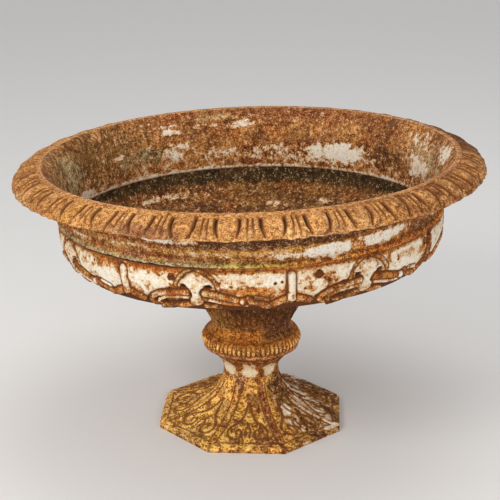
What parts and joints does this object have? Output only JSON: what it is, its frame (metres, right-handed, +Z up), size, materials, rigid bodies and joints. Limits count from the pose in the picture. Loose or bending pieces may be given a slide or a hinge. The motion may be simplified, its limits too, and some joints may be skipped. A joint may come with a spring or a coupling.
{
  "type": "garden urn",
  "caption": "Wide shallow cast-iron garden urn on a knopped stem and eight-sided foot, with an egg-and-dart rim and strapwork bowl.",
  "frame": {"origin": "centre of the foot's resting face, on the ground, on the upright axis of foot, stem and tie rod", "axes": "+Z up; the foot's flats face along X and Y; -Y is the front; the bowl has settled so that its rim is highest towards +X"},
  "size_m": [0.8995, 0.9, 0.5593],
  "materials": {
    "foot_iron": "cast iron with ochre and brown rust and remains of cream paint",
    "stem_iron": "cast iron with brown and orange rust and remains of white paint",
    "rim_iron": "cast iron with bare tan and orange rust",
    "bowl_painted_iron": "cast iron in old cream paint, rusted through along edges and joints",
    "bedding_putty": "old hard bedding putty",
    "fixing_iron": "dark rusted wrought iron"
  },
  "bodies": {
    "root": {"foot": "foot_iron", "neck_bedding": "bedding_putty", "stem": "stem_iron", "seat_bedding": "bedding_putty", "bowl_body": "bowl_painted_iron", "rim_ring": "rim_iron", "joint_pins": "fixing_iron", "tie_rod": "fixing_iron", "taper_washer": "fixing_iron", "top_nut": "fixing_iron", "bottom_washer": "fixing_iron", "bottom_nut": "fixing_iron"}
  },
  "joints": []
}
